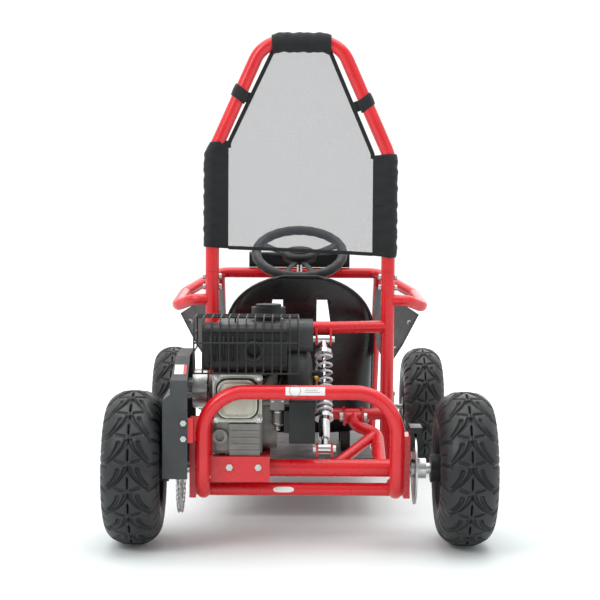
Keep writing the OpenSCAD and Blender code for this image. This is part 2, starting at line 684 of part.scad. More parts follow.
module clutch_drum() color(steel) difference() {
  union() {
    translate([chain_x - 2.5, crank[1], crank[2]]) rotate([0, 90, 0]) teeth(14, clutch_r, 4.5, 5);
    along_x(-271, crank[1], crank[2]) cylinder(h = 41, r = 26);
    along_x(-250, crank[1], crank[2]) cylinder(h = 34, r = 46);
  }
  along_x(-300, crank[1], crank[2]) cylinder(h = 100, d = 20 + 2 * run);
}

// ---- Shock absorber: the rod hangs from the frame, and the damper's body stands on the axle ----
shock_l = norm(shock_low - shock_top);
shock_dir = unit(shock_low - shock_top);
module shock_part(s0, s1, d) { rod(shock_top + shock_dir * s0, shock_top + shock_dir * s1, d); }

module shock_rod() color(steel) difference() {
  union() {
    along_x(shock_x - 14, shock_top[1], shock_top[2]) cylinder(h = 28, r = 12);
    shock_part(8, 42, 20);
    shock_part(34, 44, 44);
    shock_part(40, 175, 10);
  }
  along_x(shock_x - 20, shock_top[1], shock_top[2]) cylinder(h = 40, d = 10 + 2 * run);
}

module shock_damper() color(steel) difference() {
  union() {
    along_x(shock_x - 14, shock_low[1], shock_low[2]) cylinder(h = 28, r = 12);
    shock_part(shock_l - 30, shock_l - 8, 16);
    shock_part(132, shock_l - 26, 27);
    shock_part(208, 216, 44);
  }
  shock_part(120, 245, 10 + 2 * run);
  along_x(shock_x - 20, shock_low[1], shock_low[2]) cylinder(h = 40, d = 14);
}

// Coil spring: wide turns above, close turns below
coil_n = 9;
coil_steps = 16;
coil_sides = 8;
coil_wire = 5.6;
coil_r = 18.6;
coil_from = 47.5;
coil_to = 204.6;
side_dir = cross(shock_dir, [1, 0, 0]);
function coil_at(i) = let (t = i / (coil_n * coil_steps))
  coil_from + (coil_to - coil_from) * (1.32 * t - 0.32 * t * t);
function coil_point(i, k) = let (a = i * 360 / coil_steps, b = k * 360 / coil_sides,
  out = cos(a) * [1, 0, 0] + sin(a) * side_dir)
  shock_top + shock_dir * (coil_at(i) + coil_wire / 2 * sin(b)) + out * (coil_r + coil_wire / 2 * cos(b));
module shock_spring() color([0.85, 0.86, 0.87]) {
  rings = coil_n * coil_steps;
  polyhedron(
    points = [for (i = [0:rings], k = [0:coil_sides - 1]) coil_point(i, k)],
    faces = concat([[for (k = [0:coil_sides - 1]) k]],
      [[for (k = [0:coil_sides - 1]) rings * coil_sides + coil_sides - 1 - k]],
      [for (i = [0:rings - 1], k = [0:coil_sides - 1]) let (n = (k + 1) % coil_sides)
        [i * coil_sides + n, i * coil_sides + k, (i + 1) * coil_sides + k, (i + 1) * coil_sides + n]]));
}

// ---- Steering ----
module at_column(s) { translate(wheel_c - column_axis * s) rotate([column_tilt, 0, 0]) children(); }
pitman_tip = wheel_c - column_axis * column_l - pitman_l * [0, cos(column_tilt), sin(column_tilt)];

module steering_wheel() color(black) at_column(0) {
  rotate_extrude($fn = 72) translate([wheel_d / 2 - 13, 0]) circle(r = 13);
  for (a = [200, 340, 90]) rotate(a) translate([20, -13, -6]) cube([wheel_d / 2 - 36, 26, 8]);
  translate([0, 0, -18]) difference() {
    cylinder(h = 24, r = 36);
    translate([0, 0, -1]) cylinder(h = 11, d = column_d + 0.04);
  }
}

module steering_shaft() color(steel) {
  column_rod(8.5, column_l + 4, column_d);
  at_column(column_l + 4) block([-20, -pitman_l - 14, -4], [20, 12, 4]);
}

// Bush that holds the column at the dash bar, as part of the side hoop
module dash_bush() color(red) difference() {
  union() {
    column_rod(66, 100, 28);
    rod(wheel_c - column_axis * 84, [0, dash_y - 2, dash_z], 18);
  }
  column_rod(40, 120, column_d + 2 * run);
}

boss_low = stub_z - 29.4;
boss_high = stub_z + 33.4;
arm_z = stub_z - 6;
module knuckle() color(steel) difference() {
  union() {
    translate([king_x, front_y, boss_low]) cylinder(h = boss_high - boss_low, r = 15);
    rod([king_x + 10, front_y, stub_z], [front_track / 2 + 44, front_y, stub_z], 16);
    along_x(king_x + 10, front_y, stub_z) cylinder(h = 14, r = 13);
    along_x(front_track / 2 + 30, front_y, stub_z) cylinder(h = 10, r = 13, $fn = 6);
    block([king_x - 8, front_y - arm_l, arm_z], [king_x + 8, front_y - 10, arm_z + 8]);
    translate([king_x, front_y - arm_l, arm_z]) cylinder(h = 8, r = 11);
  }
  translate([king_x, front_y, stub_z - 60]) cylinder(h = 120, d = 14 + 2 * run);
  translate([king_x, front_y - arm_l, stub_z - 60]) cylinder(h = 120, d = 8 + 2 * run);
}
module knuckle_right() knuckle();
module knuckle_left() mirror([1, 0, 0]) knuckle();

rod_z = arm_z - 10;
module tie_rod() color(steel) {
  outer = [king_x, front_y - arm_l, rod_z];
  inner = [13, pitman_tip[1], pitman_tip[2] - 19];
  translate([king_x, front_y - arm_l, rod_z]) cylinder(h = 24, d = 8);
  translate([king_x, front_y - arm_l, arm_z + 8 + gap]) cylinder(h = 6, d = 14, $fn = 6);
  translate(outer) sphere(r = 9.4);
  translate(inner) sphere(r = 8);
  rod(outer, inner, 11);
}
module tie_rod_right() tie_rod();
module tie_rod_left() mirror([1, 0, 0]) tie_rod();

module front_rim(s) color(black) side_out(s, front_track, front_y, stub_z)
  rim(rim_width(front_tyre_w), rim_r, 16 + 2 * run, -56);
module front_rim_left() front_rim(-1);
module front_rim_right() front_rim(1);
module front_tyre(s) color(black) side_out(s, front_track, front_y, stub_z)
  tyre(front_tyre_w, front_tyre_d, rim_r + 0.5);
module front_tyre_left() front_tyre(-1);
module front_tyre_right() front_tyre(1);

// ---- Pedals and recoil handle ----
module pedal(s, w) color(black) difference() {
  union() {
    rod([s * pedal_x - 15, pedal_y, pedal_z], [s * pedal_x + 15, pedal_y, pedal_z], 20);
    rod([s * pedal_x, pedal_y, pedal_z], [s * pedal_x, pedal_y - 24, pedal_z + 120], 12);
    translate([s * pedal_x - w / 2, pedal_y - 38, pedal_z + 104]) rotate([-20, 0, 0]) cube([w, 10, 62]);
  }
  rod([s * pedal_x - 30, pedal_y, pedal_z], [s * pedal_x + 30, pedal_y, pedal_z], 10 + 2 * run);
}
module throttle_pedal() pedal(1, 46);
module brake_pedal() pedal(-1, 60);

handle_z = crank[2] + 40;
module recoil_handle() color(black) {
  along_x(28, crank[1] - 30, handle_z) cylinder(h = 20, r = 8);
  rod([46, crank[1] - 56, handle_z], [46, crank[1] - 4, handle_z], 14);
}

floor_frame();
floor_pan();
roll_posts();
side_hoop();
front_bumper();
front_axle_beam();
roll_hoop();
frame_bolts();
seat();
side_panel_left();
side_panel_right();
dash_box();
net_panel();
net_sleeve_left();
net_sleeve_right();
net_sleeve_top();
net_straps();
pivot_bolt();
rear_hoop();
swing_arm();
axle_bearings();
engine_mount();
swing_bolts();
crankcase();
cylinder_block();
valve_cover();
carburettor();
air_box();
recoil_housing();
fuel_tank();
muffler();
muffler_guard();
chain_guard();
chain();
brake_caliper();
rear_axle();
axle_sprocket();
brake_disc();
rear_rims();
rear_tyre_left();
rear_tyre_right();
clutch_drum();
shock_damper();
shock_rod();
shock_spring();
steering_wheel();
steering_shaft();
knuckle_left();
knuckle_right();
tie_rod_left();
tie_rod_right();
front_rim_left();
front_rim_right();
front_tyre_left();
front_tyre_right();
throttle_pedal();
brake_pedal();
recoil_handle();
fuel_cap();
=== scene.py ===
"""The kart's looks: camera, lights, materials, and the pieces that the CAD model holds as plain solids."""
import json
import math

import bmesh
import bpy
import numpy as np
from mathutils import Matrix, Vector


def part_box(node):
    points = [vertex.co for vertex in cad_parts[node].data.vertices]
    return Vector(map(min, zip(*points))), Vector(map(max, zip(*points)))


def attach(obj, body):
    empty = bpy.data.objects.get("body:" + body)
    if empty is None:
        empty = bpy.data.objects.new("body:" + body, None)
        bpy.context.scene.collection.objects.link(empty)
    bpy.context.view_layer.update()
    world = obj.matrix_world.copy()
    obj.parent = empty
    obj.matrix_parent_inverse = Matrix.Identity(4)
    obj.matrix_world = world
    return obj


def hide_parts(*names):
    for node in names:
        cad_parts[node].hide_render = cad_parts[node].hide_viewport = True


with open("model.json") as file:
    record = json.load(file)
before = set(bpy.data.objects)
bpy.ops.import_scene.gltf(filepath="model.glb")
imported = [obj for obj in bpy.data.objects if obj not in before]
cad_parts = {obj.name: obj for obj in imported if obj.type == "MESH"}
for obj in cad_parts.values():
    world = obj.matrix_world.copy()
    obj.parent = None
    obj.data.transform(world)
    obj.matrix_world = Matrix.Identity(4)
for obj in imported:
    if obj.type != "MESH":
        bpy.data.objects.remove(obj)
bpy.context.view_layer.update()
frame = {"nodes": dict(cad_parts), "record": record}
nodes = frame["nodes"]
scene = bpy.context.scene


def span(node):
    """A node's lowest and highest corners, as arrays."""
    lo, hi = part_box(node)
    return np.array(lo, float), np.array(hi, float)


# ---- Places that the frame gives ----
tyre_lo, tyre_hi = span("rear_tyre_left")
REAR_Y = (tyre_lo[1] + tyre_hi[1]) / 2
AXLE_Z = (tyre_lo[2] + tyre_hi[2]) / 2
POST_Y = REAR_Y + 0.280
POST_X = 0.215
TUBE_R = 0.0165

# ---- Camera, light and floor ----
CAMERA_BACK = 3.545
camera_data = bpy.data.cameras.new("camera")
camera_data.sensor_width = 36
camera_data.lens = 93.85
camera = bpy.data.objects.new("camera", camera_data)
scene.collection.objects.link(camera)
camera.matrix_world = (
    Matrix.Translation((-0.022, REAR_Y - CAMERA_BACK, 0.810))
    @ Matrix.Rotation(math.radians(-0.33), 4, "Z")
    @ Matrix.Rotation(math.radians(90 - 4.00), 4, "X")
    @ Matrix.Rotation(math.radians(0.35), 4, "Z")
)
scene.camera = camera


def softbox(name, place, target, size, power):
    """A square area lamp that faces the target."""
    data = bpy.data.lights.new(name, "AREA")
    data.size = size
    data.energy = power
    lamp = bpy.data.objects.new(name, data)
    scene.collection.objects.link(lamp)
    lamp.location = place
    lamp.rotation_euler = (Vector(target) - Vector(place)).to_track_quat("-Z", "Y").to_euler()


softbox("key", (-2.4, -3.0, 3.0), (0, -0.3, 0.4), 1.6, 54)
softbox("fill", (2.8, -2.6, 1.9), (0, -0.3, 0.4), 1.6, 7)
softbox("top", (0, 0.2, 3.8), (0, 0, 0), 4.5, 120)
softbox("front", (0.6, 3.6, 2.0), (0, 0, 0.4), 2.4, 24)


def studio_world():
    """White behind the kart and overhead, and a dim room behind the camera."""
    world = bpy.data.worlds.new("studio")
    scene.world = world
    world.use_nodes = True
    tree = world.node_tree
    coords = tree.nodes.new("ShaderNodeTexCoord")
    facing = tree.nodes.new("ShaderNodeVectorMath")
    facing.operation = "DOT_PRODUCT"
    facing.inputs[1].default_value = (0, 0.78, 0.62)
    tree.links.new(coords.outputs["Generated"], facing.inputs[0])
    level = tree.nodes.new("ShaderNodeMapRange")
    level.interpolation_type = "SMOOTHSTEP"
    for socket, value in (("From Min", -0.75), ("From Max", 0.50), ("To Min", 0.42), ("To Max", 1.06)):
        level.inputs[socket].default_value = value
    tree.links.new(facing.outputs["Value"], level.inputs["Value"])
    tree.nodes["Background"].inputs["Color"].default_value = (1, 1, 1, 1)
    tree.links.new(level.outputs["Result"], tree.nodes["Background"].inputs["Strength"])


studio_world()
scene.view_settings.view_transform = "Standard"


# ---- Materials ----
class Look:
    """A Principled material with short ways to add noise, bump and colour change."""

    def __init__(self, name, colour, rough, metal=0.0, **sockets):
        self.material = bpy.data.materials.new(name)
        self.material.use_nodes = True
        self.tree = self.material.node_tree
        self.nodes = self.tree.nodes
        self.shader = self.nodes["Principled BSDF"]
        self.set("Base Color", (*colour, 1))
        self.set("Roughness", rough)
        self.set("Metallic", metal)
        for socket, value in sockets.items():
            self.set(socket.replace("_", " "), value)
        self.coords = self.nodes.new("ShaderNodeTexCoord").outputs["Object"]

    def set(self, socket, value):
        self.shader.inputs[socket].default_value = value

    def link(self, a, b):
        self.tree.links.new(a, b)

    def noise(self, scale, detail=3.0, rough=0.5):
        n = self.nodes.new("ShaderNodeTexNoise")
        n.inputs["Scale"].default_value = scale
        n.inputs["Detail"].default_value = detail
        n.inputs["Roughness"].default_value = rough
        self.link(self.coords, n.inputs["Vector"])
        return n.outputs["Fac"]

    def ramp(self, source, stops):
        """Colours or greys at the given places of a 0 to 1 value."""
        r = self.nodes.new("ShaderNodeValToRGB")
        while len(r.color_ramp.elements) < len(stops):
            r.color_ramp.elements.new(0.5)
        for e, (at, c) in zip(r.color_ramp.elements, stops):
            e.position = at
            e.color = (*c, 1) if isinstance(c, tuple) else (c, c, c, 1)
        self.link(source, r.inputs["Fac"])
        return r.outputs["Color"]

    def colours(self, source, stops):
        self.link(self.ramp(source, stops), self.shader.inputs["Base Color"])

    def roughness(self, source, stops):
        self.link(self.ramp(source, stops), self.shader.inputs["Roughness"])

    def bump(self, height, strength, distance):
        b = self.nodes.new("ShaderNodeBump")
        b.inputs["Strength"].default_value = strength
        b.inputs["Distance"].default_value = distance
        self.link(height, b.inputs["Height"])
        self.link(b.outputs["Normal"], self.shader.inputs["Normal"])

    def maths(self, operation, a, b=0.0):
        m = self.nodes.new("ShaderNodeMath")
        m.operation = operation
        for socket, value in zip(m.inputs, (a, b)):
            if isinstance(value, (int, float)):
                socket.default_value = value
            else:
                self.link(value, socket)
        return m.outputs[0]

    def weave(self, pitch):
        """Threads over and under each other, as a height from 0 to 1."""
        axes = self.nodes.new("ShaderNodeSeparateXYZ")
        self.link(self.coords, axes.inputs[0])
        turn = 2 * math.pi / pitch
        level = self.maths("ADD", axes.outputs[0], axes.outputs[1])
        across = self.maths("SINE", self.maths("MULTIPLY", level, turn))
        along = self.maths("SINE", self.maths("MULTIPLY", axes.outputs[2], turn))
        return self.maths("MULTIPLY_ADD", self.maths("MULTIPLY", across, along), 0.5)


def red_coat():
    look = Look("red_powder_coat", (0.64, 0.008, 0.015), 0.36, Coat_Weight=0.20, Coat_Roughness=0.12)
    look.colours(look.noise(9, 2), [(0.3, (0.59, 0.007, 0.013)), (0.7, (0.68, 0.010, 0.017))])
    look.roughness(look.noise(40, 3), [(0.3, 0.24), (0.7, 0.36)])
    look.bump(look.noise(900, 2), 0.12, 0.0004)
    return look.material


def moulded(name, colour, rough, grain, strength=0.25, shine=0.4):
    """Moulded or painted black and grey parts, with a fine grain and faint scuffs."""
    look = Look(name, colour, rough, Specular_IOR_Level=shine)
    lighter = tuple(c * 1.35 + 0.003 for c in colour)
    look.colours(look.noise(14, 5, 0.65), [(0.35, colour), (0.75, lighter)])
    look.roughness(look.noise(30, 4), [(0.3, rough - 0.06), (0.7, min(rough + 0.1, 1.0))])
    look.bump(look.noise(grain, 3), strength, 0.0006)
    return look.material


def rubber():
    look = Look("tyre_rubber", (0.015, 0.017, 0.019), 0.45)
    look.colours(look.noise(18, 6, 0.7), [(0.3, (0.008, 0.009, 0.010)), (0.75, (0.017, 0.019, 0.021))])
    look.roughness(look.noise(26, 4), [(0.3, 0.36), (0.7, 0.58)])
    look.bump(look.noise(420, 4), 0.25, 0.0008)
    return look.material


def fabric(name, colour, pitch):
    look = Look(name, colour, 0.85, Sheen_Weight=0.06, Sheen_Roughness=0.5)
    look.colours(look.noise(40, 4), [(0.3, colour), (0.75, tuple(c * 1.5 for c in colour))])
    look.bump(look.weave(pitch), 0.5, 0.0005)
    return look.material


def net_mesh():
    """Fine dark threads with open holes between them."""
    look = Look("net_mesh", (0.10, 0.10, 0.11), 0.8)
    axes = look.nodes.new("ShaderNodeSeparateXYZ")
    look.link(look.coords, axes.inputs[0])
    turn = 2 * math.pi / 0.0015
    threads = []
    for socket in (axes.outputs[0], axes.outputs[2]):
        wave = look.maths("SINE", look.maths("MULTIPLY", socket, turn))
        threads.append(look.maths("GREATER_THAN", wave, 0.60))
    solid = look.maths("MAXIMUM", *threads)
    look.colours(look.noise(300, 2), [(0.3, (0.045, 0.049, 0.060)), (0.7, (0.080, 0.086, 0.104))])
    look.link(look.maths("MULTIPLY_ADD", solid, 0.86), look.shader.inputs["Alpha"])
    look.nodes[-1].inputs[2].default_value = 0.06
    return look.material


def metal(name, colour, rough, grain, strength=0.2, metal_share=1.0):
    look = Look(name, colour, rough, metal_share)
    darker = tuple(c * 0.72 for c in colour)
    look.colours(look.noise(22, 5, 0.6), [(0.3, darker), (0.7, colour)])
    look.roughness(look.noise(60, 4), [(0.3, max(rough - 0.08, 0.03)), (0.7, rough + 0.12)])
    look.bump(look.noise(grain, 4), strength, 0.0005)
    return look.material


LOOKS = {
    "frame_red": red_coat(),
    "panel_grey": moulded("grey_panel", (0.040, 0.043, 0.044), 0.46, 500),
    "gloss_black": moulded("seat_gloss", (0.006, 0.006, 0.006), 0.28, 160, 0.06),
    "black_plastic": moulded("black_plastic", (0.009, 0.010, 0.010), 0.46, 600),
    "black_metal": moulded("black_enamel", (0.008, 0.008, 0.009), 0.40, 800, 0.15),
    "mesh": net_mesh(),
    "webbing": fabric("black_cloth", (0.006, 0.007, 0.008), 0.0011),
    "zinc": metal("zinc_plate", (0.62, 0.63, 0.62), 0.28, 500),
    "cast_alloy": metal("cast_alloy", (0.26, 0.25, 0.235), 0.5, 700, 0.5, 0.75),
    "cover_alloy": metal("cover_alloy", (0.50, 0.50, 0.44), 0.32, 600, 0.25, 0.8),
    "chrome": metal("chrome", (0.78, 0.79, 0.80), 0.08, 300, 0.05),
    "spring_silver": metal("silver_paint", (0.80, 0.81, 0.83), 0.34, 700, 0.1, 0.08),
    "tyre": rubber(),
}


# ---- Mesh helpers ----
def piece(name, verts, faces, body, slot, stands_for=(), smooth=True, look=None):
    """A new mesh that rides on a body and takes its finish from a slot."""
    mesh = bpy.data.meshes.new(name)
    mesh.from_pydata([tuple(float(c) for c in v) for v in verts], [], faces)
    mesh.validate()
    bm = bmesh.new()
    bm.from_mesh(mesh)
    bmesh.ops.recalc_face_normals(bm, faces=bm.faces)
    bm.to_mesh(mesh)
    bm.free()
    mesh.polygons.foreach_set("use_smooth", [smooth] * len(mesh.polygons))
    mesh.materials.append(look or LOOKS[slot])
    obj = bpy.data.objects.new(name, mesh)
    scene.collection.objects.link(obj)
    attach(obj, body)
    if stands_for:
        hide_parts(*stands_for)
    return obj


def grid_faces(rows, cols, wrap_rows=False, wrap_cols=False):
    """Quads over a grid of points, row by row."""
    faces = []
    for i in range(rows if wrap_rows else rows - 1):
        for j in range(cols if wrap_cols else cols - 1):
            a, b = (i + 1) % rows, (j + 1) % cols
            faces.append((i * cols + j, i * cols + b, a * cols + b, a * cols + j))
    return faces


def tube(points, radius, sides=12, closed=False, flat=1.0, up=(0, 0, 1)):
    """Vertices and faces of a round tube along points. flat squeezes it across its up side."""
    pts = [Vector(p) for p in points]
    n = len(pts)
    radii = radius if hasattr(radius, "__len__") else [radius] * n
    verts = []
    ref = Vector(up)
    for i, p in enumerate(pts):
        nxt = pts[(i + 1) % n] if closed or i < n - 1 else p
        prv = pts[i - 1] if closed or i > 0 else p
        way = (nxt - prv).normalized()
        side = way.cross(ref)
        if side.length < 1e-4:
            side = way.cross(Vector((1, 0, 0)))
        side.normalize()
        ref = side.cross(way).normalized()
        for k in range(sides):
            a = 2 * math.pi * k / sides
            verts.append(p + radii[i] * (math.cos(a) * side + flat * math.sin(a) * ref))
    faces = grid_faces(n, sides, closed, True)
    if not closed:
        faces.append(tuple(range(sides)))
        faces.append(tuple((n - 1) * sides + k for k in reversed(range(sides))))
    return verts, faces


def joined(*parts):
    """Several vertex and face lists as one."""
    verts, faces = [], []
    for v, f in parts:
        base = len(verts)
        verts += list(v)
        faces += [tuple(base + i for i in face) for face in f]
    return verts, faces


def solid_box(lo, hi):
    x0, y0, z0 = lo
    x1, y1, z1 = hi
    verts = [(x, y, z) for x in (x0, x1) for y in (y0, y1) for z in (z0, z1)]
    faces = [(0, 1, 3, 2), (4, 6, 7, 5), (0, 4, 5, 1), (2, 3, 7, 6), (0, 2, 6, 4), (1, 5, 7, 3)]
    return verts, faces


def soften(obj, width, segments=2, angle=35):
    """Rounds an object's hard edges."""
    bevel = obj.modifiers.new("round", "BEVEL")
    bevel.width = width
    bevel.segments = segments
    bevel.limit_method = "ANGLE"
    bevel.angle_limit = math.radians(angle)
    bevel.harden_normals = False


def smoothstep(lo, hi, v):
    t = np.clip((v - lo) / (hi - lo), 0, 1)
    return t * t * (3 - 2 * t)


# ---- Tyres with lugs ----
LUG_H = 0.0085
RIM_R = 0.0805
SIDE_LEAD = 0.03


def slit(gap, slope, wide):
    """1 in a groove whose middle line is where gap is 0; slope keeps its width even where it runs slanted."""
    away = np.abs(gap) / np.sqrt(1 + slope**2)
    return 1 - smoothstep(wide * 0.55, wide, away)


def between(v, lo, hi, edge=0.04):
    return smoothstep(lo - edge, lo + edge, v) * (1 - smoothstep(hi - edge, hi + edge, v))


def lug_height(turn, across, repeats):
    """0 to 1: on each side a comma-shaped lug that starts by the middle and sweeps down and outwards."""
    u = (turn * repeats / (2 * math.pi)) % 1.0
    side = np.abs(across)
    # One side runs a little ahead of the other
    left = (u + SIDE_LEAD * (across < 0)) % 1.0
    cut = np.zeros_like(u)
    # Long groove on the lug's inner side, then the short deep slit within it
    for base, first, low, high, wide, deep in (
        (0.06, 0.00, 0.00, 0.97, 0.060, 0.90),
        (0.25, 0.04, 0.03, 0.72, 0.066, 1.00),
    ):
        v = left - first
        line = base + 0.03 * v + 0.64 * v**2
        cut = np.maximum(cut, deep * slit(side - line, 0.9 * v, wide) * between(v, low, high))
    # Groove above the next lug, and the gap between shoulder blocks
    v = left - (0.93 - 0.42 * side)
    cut = np.maximum(cut, 0.75 * slit(v * 0.9, 0.4, 0.060) * between(side, 0.08, 0.36))
    v = left - (0.98 - 0.30 * (side - 0.6))
    v = (v + 0.5) % 1.0 - 0.5
    cut = np.maximum(cut, slit(v * 0.9, 0.3, 0.085) * smoothstep(0.56, 0.64, side))
    v = (left - (0.45 - 0.20 * (side - 0.8)) + 0.5) % 1.0 - 0.5
    cut = np.maximum(cut, 0.7 * slit(v * 0.9, 0.2, 0.060) * smoothstep(0.76, 0.82, side))
    # Short slits along the middle
    cut = np.maximum(cut, 0.80 * slit(across, 0, 0.042) * between(u, 0.38, 0.80))
    # The ridge beside the slit stands proud and the block outside it lies a little lower
    ridge = between(side, 0.10 + 0.60 * left**2, 0.20 + 0.62 * left**2, 0.02) * between(left, 0.05, 0.80)
    return np.clip((1 - cut) * (0.82 + 0.18 * ridge), 0, 1)


def tyre(name, node, body, repeats, around, across):
    lo, hi = span(node)
    mid = (lo + hi) / 2
    half_w = (hi[0] - lo[0]) / 2 - 0.0004
    outer = (hi[2] - lo[2]) / 2 - 0.0003
    ring = (outer + RIM_R) / 2
    high = (outer - RIM_R) / 2
    # The section goes from one bead, over the crown, to the other bead, closest spaced on the crown
    t = np.linspace(-1, 1, across)
    a = math.pi / 2 + 0.90 * math.pi * (0.62 * t + 0.38 * t**3)
    c, n = np.cos(a), np.sin(a)
    power = np.where(n > 0, 0.95, 0.55)
    sx = np.sign(c) * np.abs(c) ** power
    sr = np.sign(n) * np.abs(n) ** power
    turn = np.linspace(0, 2 * math.pi, around, endpoint=False)
    T, A = np.meshgrid(turn, a, indexing="ij")
    S = (A - math.pi / 2) / (0.42 * math.pi)
    lug = lug_height(T, S, repeats) * (1 - smoothstep(1.24, 1.42, np.abs(S)))
    X = np.broadcast_to(sx, T.shape)
    R = np.broadcast_to(sr, T.shape)
    cut = LUG_H * (1 - lug) * smoothstep(-0.35, 0.25, R)
    x = X * (half_w - cut * np.abs(X))
    r = ring + R * (high - cut * np.clip(R, 0, 1))
    # Raised ribs low on the sidewall
    rib = 0.0012 * np.exp(-(((r - (RIM_R + 0.014)) / 0.0018) ** 2))
    rib = rib + 0.001 * np.exp(-(((r - (RIM_R + 0.022)) / 0.001) ** 2))
    x = x + np.sign(x) * (rib - 0.0014)
    # The turn runs down the rear face
    verts = np.stack([mid[0] + x, mid[1] - r * np.sin(T), mid[2] + r * np.cos(T)], -1).reshape(-1, 3)
    # The inner side closes the section
    faces = grid_faces(around, across, True, True)
    return piece(name, verts, faces, body, "tyre", (node,))


for row in (
    ("rear_left_tread", "rear_tyre_left", "rear_wheelset", 18, 900, 120),
    ("rear_right_tread", "rear_tyre_right", "rear_wheelset", 18, 900, 120),
    ("front_left_tread", "front_tyre_left", "front_wheel_left", 18, 640, 96),
    ("front_right_tread", "front_tyre_right", "front_wheel_right", 18, 640, 96),
):
    tyre(*row)

# ---- Net, its binding, sleeves and straps ----
NET_HALF = 0.176
NET_TOP_HALF = 0.071
NET_TOP_Z = 1.1450
NET_SHOULDER = {-1: 0.925, 1: 0.900}
CLOTH_R = 0.0215


def net_edge(side, z):
    """Half width of the net on one side at a height."""
    shoulder = NET_SHOULDER[side]
    if z <= shoulder:
        return NET_HALF
    return NET_HALF + (NET_TOP_HALF - NET_HALF) * (z - shoulder) / (NET_TOP_Z - shoulder)


def net_low(x):
    return 0.660 - 0.008 * x / NET_HALF


def net_cloth():
    rows, cols = 60, 44
    verts = []
    for i in range(rows):
        for j in range(cols):
            t, u = i / (rows - 1), j / (cols - 1)
            z_guess = 0.660 + t * (NET_TOP_Z - 0.660)
            left, right = -net_edge(-1, z_guess), net_edge(1, z_guess)
            x = left + (right - left) * u
            z = net_low(x) + t * (NET_TOP_Z - net_low(x))
            sag = 0.0030 * math.sin(math.pi * u) * math.sin(math.pi * min(1, t * 1.2))
            verts.append((x, POST_Y - sag, z))
    net = piece("net_cloth", verts, grid_faces(rows, cols), "frame", "mesh", ("net_panel",))
    return net


def ribbon(path, wide, thick):
    """A flat strap along a path in the net's plane, with rounded edges."""
    return tube(path, wide / 2, 14, flat=thick / wide, up=(0, 1, 0))


def curve_points(points, per=8):
    """A smooth line through points."""
    pts = [Vector(p) for p in points]
    pts = [2 * pts[0] - pts[1]] + pts + [2 * pts[-1] - pts[-2]]
    line = []
    for i in range(1, len(pts) - 2):
        p0, p1, p2, p3 = pts[i - 1 : i + 3]
        for k in range(per):
            t = k / per
            line.append(
                0.5
                * (
                    2 * p1
                    + (p2 - p0) * t
                    + (2 * p0 - 5 * p1 + 4 * p2 - p3) * t**2
                    + (3 * p1 - p0 - 3 * p2 + p3) * t**3
                )
            )
    line.append(pts[-2])
    return line


def net_binding():
    parts = []
    for side in (-1, 1):
        z0 = NET_SHOULDER[side] - 0.012
        heights = [z0 + t * (NET_TOP_Z + 0.004 - z0) for t in np.linspace(0, 1, 24)]
        path = [(side * (net_edge(side, z) - 0.001), POST_Y, z) for z in heights]
        parts.append(ribbon(path, 0.010, 0.0036))
    hem = [
        (x, POST_Y, net_low(x) + 0.003 + 0.0015 * math.sin(9 * x + 1))
        for x in np.linspace(-NET_HALF, NET_HALF, 30)
    ]
    parts.append(ribbon(hem, 0.009, 0.0036))
    return piece("net_binding", *joined(*parts), "frame", "webbing")


def post_line(z):
    """The hoop's centre line at a height: upright, then leaning in."""
    lean = 0.449
    over = z - 0.881
    if over <= 0:
        return POST_X
    if over < 0.031:
        return POST_X - lean * over**2 / 0.062
    return POST_X - lean * (over - 0.0155)


def side_sleeve(side, low, high, node):
    rows, cols = 46, 56
    verts = []
    for i in range(rows):
        t = i / (rows - 1)
        for j in range(cols):
            a = 2 * math.pi * j / cols
            z = low + t * (high - low)
            centre = post_line(z)
            # Round at the post, drawn out to a thin flap towards the net
            wrinkle = 0.0009 * math.sin(31 * z / 0.1 + 3 * a) + 0.0011 * math.sin(17 * z / 0.1 - 2 * a + side)
            ends = 0.0014 * (smoothstep(0.93, 1.0, t) + smoothstep(0.07, 0.0, t))
            r = CLOTH_R + wrinkle * 0.8 - ends
            inward = max(0.0, -math.cos(a))
            pull = inward**3
            x = math.cos(a) * r - pull * (centre - NET_HALF - r)
            y = math.sin(a) * r * (1 - 0.55 * inward**1.2)
            z += -0.012 * side * 0.3 * inward if t > 0.5 else 0.004 * inward * side
            verts.append((side * (centre + x), POST_Y + y, z))
    faces = grid_faces(rows, cols, False, True)
    sleeve = piece(f"sleeve_{node}", verts, faces, "frame", "webbing", (node,))
    shell = sleeve.modifiers.new("thickness", "SOLIDIFY")
    shell.thickness = 0.0012
    shell.offset = -1
    return sleeve


def top_sleeve():
    rows, cols = 40, 48
    half = 0.0715
    verts = []
    for i in range(rows):
        x = -half + 2 * half * i / (rows - 1)
        for j in range(cols):
            a = 2 * math.pi * j / cols
            down = max(0.0, -math.sin(a))
            r = 0.0222 + 0.0007 * math.sin(260 * x + 2 * a) + 0.0006 * math.sin(140 * x - 3 * a)
            z = 1.170 + math.sin(a) * r - 0.0035 * down**3
            y = POST_Y + math.cos(a) * r * (1 - 0.35 * down**2)
            z -= 0.075 - math.sqrt(0.075**2 - max(0.0, abs(x) - 0.0435) ** 2)
            verts.append((x * (1 + 0.02 * math.sin(a)), y, z))
    faces = grid_faces(rows, cols, False, True)
    sleeve = piece("sleeve_top", verts, faces, "frame", "webbing", ("net_sleeve_top",))
    shell = sleeve.modifiers.new("thickness", "SOLIDIFY")
    shell.thickness = 0.0012
    shell.offset = -1
    return sleeve


